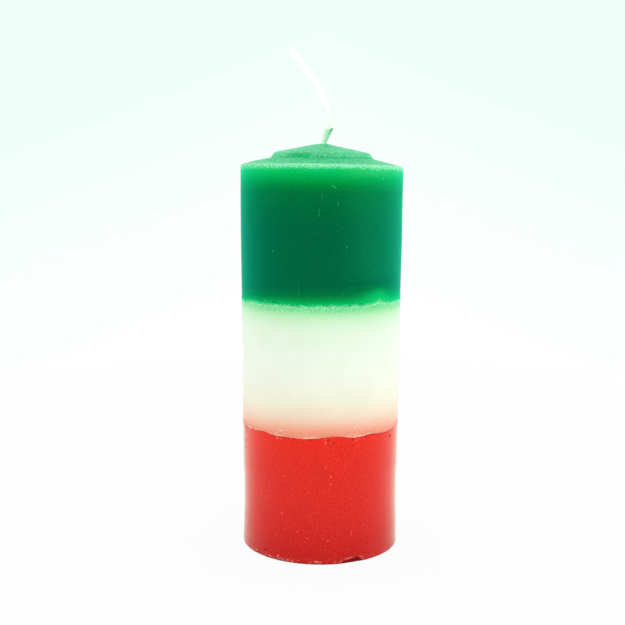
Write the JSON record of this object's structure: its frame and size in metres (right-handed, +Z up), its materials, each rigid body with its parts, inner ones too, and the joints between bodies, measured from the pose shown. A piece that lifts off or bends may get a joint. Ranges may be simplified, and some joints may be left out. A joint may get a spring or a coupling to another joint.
{
  "type": "pillar candle",
  "caption": "Devotional pillar candle: a plain round wax pillar cast in green, white and red layers, with a stepped conical top and a bent, stiff white wick standing out of it.",
  "frame": {"origin": "centre of the foot, on the surface that the candle stands on", "axes": "+Z up along the candle, -Y to the front, where the foot's chip is, and +X to the right seen from the front"},
  "size_m": [0.0554, 0.0554, 0.1708],
  "materials": {
    "green_wax": "dyed candle wax, translucent, satin, frosted on the crown",
    "white_wax": "undyed candle wax, translucent, satin, stained green above and salmon below by its neighbours",
    "red_wax": "dyed candle wax, translucent, satin",
    "pale_green_wax": "thin skin of green wax over white cotton",
    "primed_cotton": "braided cotton, primed with clear wax"
  },
  "bodies": {
    "root": {"green_crown_tier": "green_wax", "white_middle_tier": "white_wax", "red_foot_tier": "red_wax", "foot_top_up": "red_wax", "wick": "primed_cotton", "wick_wax_coat": "pale_green_wax"}
  },
  "joints": []
}
